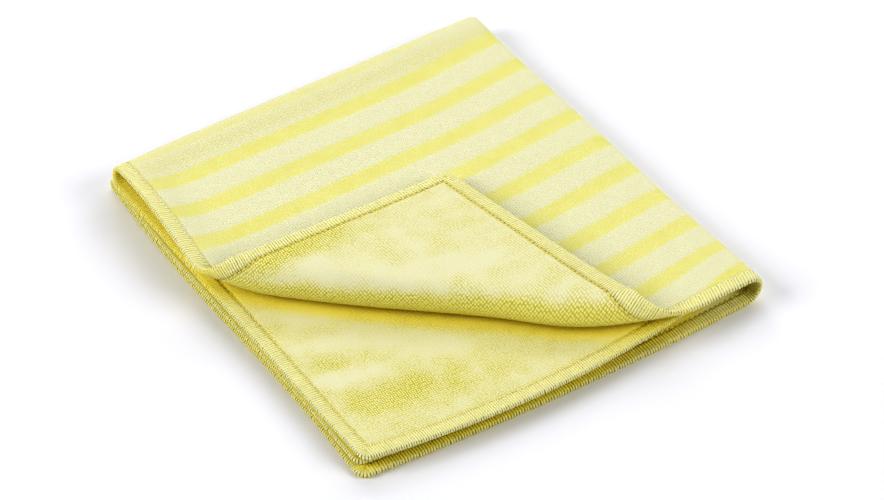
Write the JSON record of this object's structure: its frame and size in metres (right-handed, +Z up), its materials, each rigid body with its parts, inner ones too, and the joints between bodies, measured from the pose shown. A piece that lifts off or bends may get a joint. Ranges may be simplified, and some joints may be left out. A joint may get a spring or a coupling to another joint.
{
  "type": "folded microfibre cloth",
  "caption": "Knitted microfibre cleaning cloth with an overlocked hem, folded in four with the free corner of its top layer turned back.",
  "frame": {"origin": "centre of the bounding box, on the surface that the cloth lies on", "axes": "+X along the stripes towards the right fold, +Y towards the back fold, +Z up out of the surface"},
  "size_m": [0.1854, 0.199, 0.0248],
  "materials": {
    "knitted_microfibre": "matt"
  },
  "bodies": {
    "root": {"cloth": "knitted_microfibre"}
  },
  "joints": []
}
